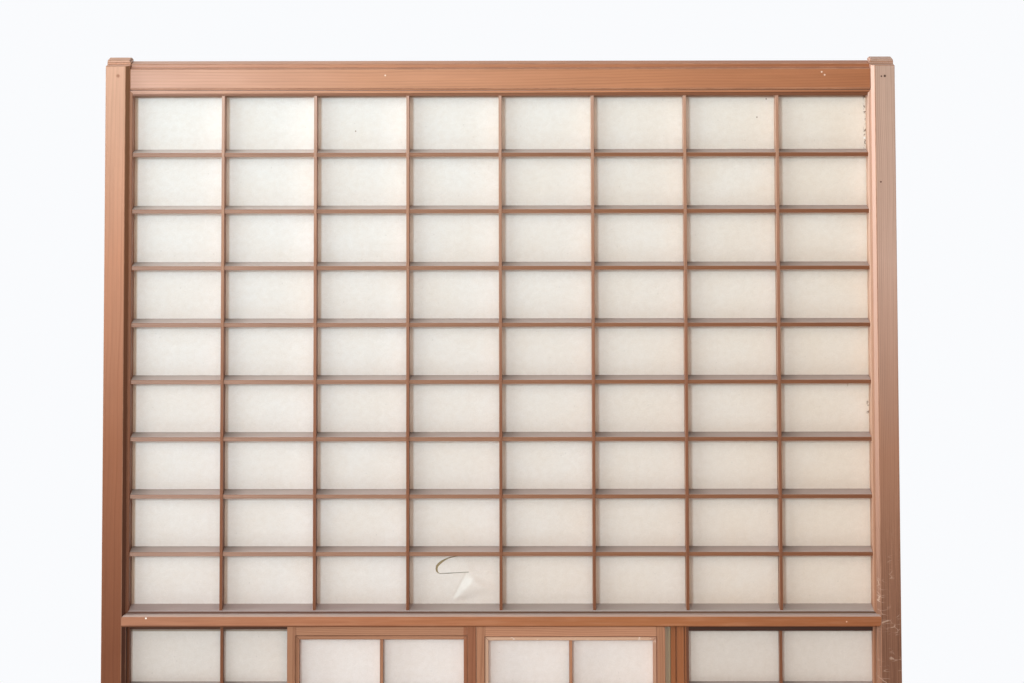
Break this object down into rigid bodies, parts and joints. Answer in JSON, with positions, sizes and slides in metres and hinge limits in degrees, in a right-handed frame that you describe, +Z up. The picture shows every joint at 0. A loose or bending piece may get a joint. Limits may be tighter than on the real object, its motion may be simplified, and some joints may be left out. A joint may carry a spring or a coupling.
{
  "type": "shoji sliding screen",
  "caption": "Tall wooden sliding panel with a papered lattice above, glass between papered side lattices below, small sliding paper screens in front of the glass, and a waist board.",
  "frame": {"origin": "middle of the bottom of the panel's box, on the sill that it stands in", "axes": "+X to the viewer's right, +Y from the front (room) face to the back, +Z up"},
  "size_m": [0.915, 0.03, 1.757],
  "materials": {
    "frame_wood": "bare cedar, aged",
    "lattice_wood": "bare cedar, aged",
    "screen_wood": "bare cedar, worn",
    "board_wood": "bare cedar board",
    "paper": "matt screen paper",
    "glass": "thin clear pane"
  },
  "bodies": {
    "frame": {"bottom_rail": "frame_wood", "glass_pane": "glass", "left_glazing_strip": "frame_wood", "left_post": "frame_wood", "left_side_bead_bottom": "frame_wood", "left_side_bead_left": "frame_wood", "left_side_bead_right": "frame_wood", "left_side_bead_top": "frame_wood", "left_side_lattice": "lattice_wood", "left_side_paper": "paper", "left_stile": "frame_wood", "middle_rail": "frame_wood", "right_glazing_strip": "frame_wood", "right_post": "frame_wood", "right_side_bead_bottom": "frame_wood", "right_side_bead_left": "frame_wood", "right_side_bead_right": "frame_wood", "right_side_bead_top": "frame_wood", "right_side_lattice": "lattice_wood", "right_side_paper": "paper", "right_stile": "frame_wood", "sill_rail": "frame_wood", "top_rail": "frame_wood", "upper_bead_bottom": "frame_wood", "upper_bead_left": "frame_wood", "upper_bead_right": "frame_wood", "upper_bead_top": "frame_wood", "upper_cross_bar_1": "lattice_wood", "upper_cross_bar_2": "lattice_wood", "upper_cross_bar_3": "lattice_wood", "upper_cross_bar_4": "lattice_wood", "upper_cross_bar_5": "lattice_wood", "upper_cross_bar_6": "lattice_wood", "upper_cross_bar_7": "lattice_wood", "upper_cross_bar_8": "lattice_wood", "upper_paper": "paper", "upper_vertical_bar_1": "lattice_wood", "upper_vertical_bar_2": "lattice_wood", "upper_vertical_bar_3": "lattice_wood", "upper_vertical_bar_4": "lattice_wood", "upper_vertical_bar_5": "lattice_wood", "upper_vertical_bar_6": "lattice_wood", "upper_vertical_bar_7": "lattice_wood", "waist_board": "board_wood"},
    "left_screen": {"left_screen_bottom_rail": "screen_wood", "left_screen_lattice": "screen_wood", "left_screen_left_stile": "screen_wood", "left_screen_paper": "paper", "left_screen_right_stile": "screen_wood", "left_screen_top_rail": "screen_wood"},
    "right_screen": {"right_screen_bottom_rail": "screen_wood", "right_screen_lattice": "screen_wood", "right_screen_left_stile": "screen_wood", "right_screen_paper": "paper", "right_screen_right_stile": "screen_wood", "right_screen_top_rail": "screen_wood"}
  },
  "joints": [
    {"name": "left_screen_slide", "type": "slide", "parent": "frame", "child": "left_screen", "axis": [1, 0, 0], "range_m": [-0.184, 0]},
    {"name": "right_screen_slide", "type": "slide", "parent": "frame", "child": "right_screen", "axis": [1, 0, 0], "range_m": [0, 0.2415]}
  ]
}
